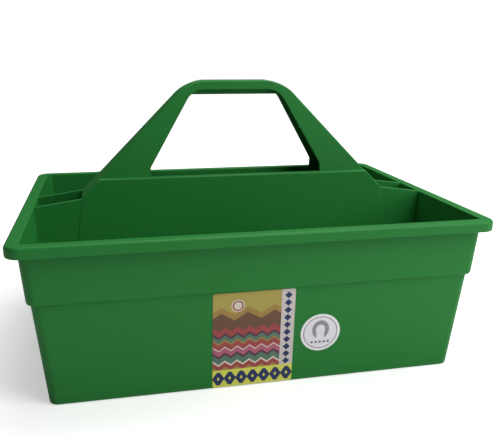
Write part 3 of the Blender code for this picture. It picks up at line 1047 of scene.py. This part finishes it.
def horseshoe(tree, across_sheet, up_sheet):
    """The masks of the shoe and of its nails."""
    widened = reckon(tree, "DIVIDE", across_sheet, SHOE_NARROW)
    from_middle = distance(tree, widened, up_sheet, 0.0, SHOE_RISE)
    open_foot = reckon(tree, "MAXIMUM", over(tree, up_sheet, SHOE_FOOT),
                       over(tree, off_line(tree, across_sheet, 0.0), SHOE_HALF_GAP))
    shoe = both(tree, within(tree, from_middle, *SHOE_BAND), open_foot)
    bearing = reckon(tree, "ARCTAN2", reckon(tree, "SUBTRACT", up_sheet, SHOE_RISE), across_sheet)
    nail = under(tree, reckon(tree, "PINGPONG", bearing, NAIL_STEP / 2), NAIL_HALF_TURN)
    nails = both(tree, both(tree, nail, within(tree, from_middle, *NAIL_BAND)), open_foot)
    return shoe, nails


def dot_row(tree, across_sheet, up_sheet):
    """The mask of a row of dots: one dot folded over and over, cut off past the last one."""
    along = reckon(tree, "PINGPONG", across_sheet, DOT_STEP / 2)
    dots = under(tree, distance(tree, along, up_sheet, 0.0, DOT_HEIGHT), DOT_SIZE)
    return both(tree, dots, under(tree, off_line(tree, across_sheet, 0.0), DOT_COUNT * DOT_STEP / 2))


def sticker_print():
    material, tree, shader, fibre = paper("sticker_print")
    sheet = millimetres(tree, (sticker_low + sticker_high) / 2)
    from_middle = distance(tree, *sheet, 0.0, 0.0)
    shoe, nails = horseshoe(tree, *sheet)
    printed = blend(tree, under(tree, from_middle, FIELD_RADIUS), STICKER_WHITE, LILAC_WHITE)
    ring = within(tree, from_middle, RING_RADIUS, RING_RADIUS + RING_LINE)
    for mask, ink in ((ring, DOT_GREY), (dot_row(tree, *sheet), DOT_GREY), (shoe, SHOE_GREY),
                      (nails, DOT_GREY)):
        printed = blend(tree, mask, printed, ink)
    put_on_paper(tree, shader, printed, fibre, STICKER_MOTTLE)
    return material


finish_piece(sticker, sticker_print(), "sticker_paper", "round_sticker")

# %% [markdown]
# A studio table for a catalogue picture: a pale floor that the camera sees as white, brighter
# with distance so that no horizon shows, and still dull enough near the tote to keep its soft
# shadow. On a dark green, lamps are better than a bright world. A lit world puts a grey veil on
# every face, while soft lamps leave the walls deep and the rim bright. The key lamp is high on
# the right, so the rim shades the wall below it, and the floor throws light back on the foot.

# %% Floor
FLOOR_HALF = 6.0
FLOOR_WHITE = (0.92, 0.92, 0.92, 1)
FLOOR_ROUGHNESS = 0.9
FLOOR_DROP = 0.0002
LIFT_NEAR = 0.5
LIFT_FAR = 1.0
LIFT_REACH = 1.2
PURE_WHITE = (1, 1, 1, 1)


def camera_ray(tree):
    return tree.nodes.new("ShaderNodeLightPath").outputs["Is Camera Ray"]


def white_floor():
    material, tree, shader = new_material("white_floor")
    shader.inputs["Base Color"].default_value = FLOOR_WHITE
    shader.inputs["Roughness"].default_value = FLOOR_ROUGHNESS
    shader.inputs["Emission Color"].default_value = PURE_WHITE
    away = tree.nodes.new("ShaderNodeVectorMath")
    away.operation = "LENGTH"
    tree.links.new(object_place(tree), away.inputs[0])
    lift = remap(tree, away.outputs["Value"], LIFT_NEAR, LIFT_FAR, HALF_LENGTH, LIFT_REACH)
    glow = reckon(tree, "MULTIPLY", camera_ray(tree), lift)
    tree.links.new(glow, shader.inputs["Emission Strength"])
    return material


floor = level_sheet("floor", FLOOR_HALF, FLOOR_HALF, -FLOOR_DROP)
floor.data.materials.append(white_floor())
print("floor", 2 * FLOOR_HALF, "m wide, fully white from", LIFT_REACH, "m")

# %% [markdown]
# The world is white for the camera and nearly dark for everything else. Four square lamps do
# the rest: the key, a low one at the right for the front and the end wall, one overhead for the
# rim, and a weak one behind that keeps the far side from going black.

# %% World and lamps
WORLD_LIGHT = 0.06

world = bpy.data.worlds.new("studio")
world.use_nodes = True
bpy.context.scene.world = world
background = world.node_tree.nodes["Background"]
background.inputs["Color"].default_value = PURE_WHITE
brightness = remap(world.node_tree, camera_ray(world.node_tree), WORLD_LIGHT, 1.0)
world.node_tree.links.new(brightness, background.inputs["Strength"])


def soft_lamp(name, place, target, size, power):
    """A square area lamp that looks at a target."""
    data = bpy.data.lights.new(name, "AREA")
    data.size = size
    data.energy = power
    lamp = bpy.data.objects.new(name, data)
    bpy.context.scene.collection.objects.link(lamp)
    lamp.location = place
    lamp.rotation_euler = (Vector(target) - Vector(place)).to_track_quat("-Z", "Y").to_euler()
    print(name, power, "W,", size, "m wide")


soft_lamp("key_lamp", (0.58, -0.66, 1.15), (0, -0.05, 0.08), 0.9, 9.4)
soft_lamp("side_lamp", (1.00, -0.88, 0.50), (0.1, 0, 0.05), 0.6, 3.8)
soft_lamp("top_lamp", (0.15, 0.30, 1.55), (0, 0, 0.12), 0.9, 12)
soft_lamp("back_lamp", (0.90, 1.20, 1.40), (0, 0, 0.12), 1.2, 2)

bpy.context.scene.view_settings.view_transform = "Standard"
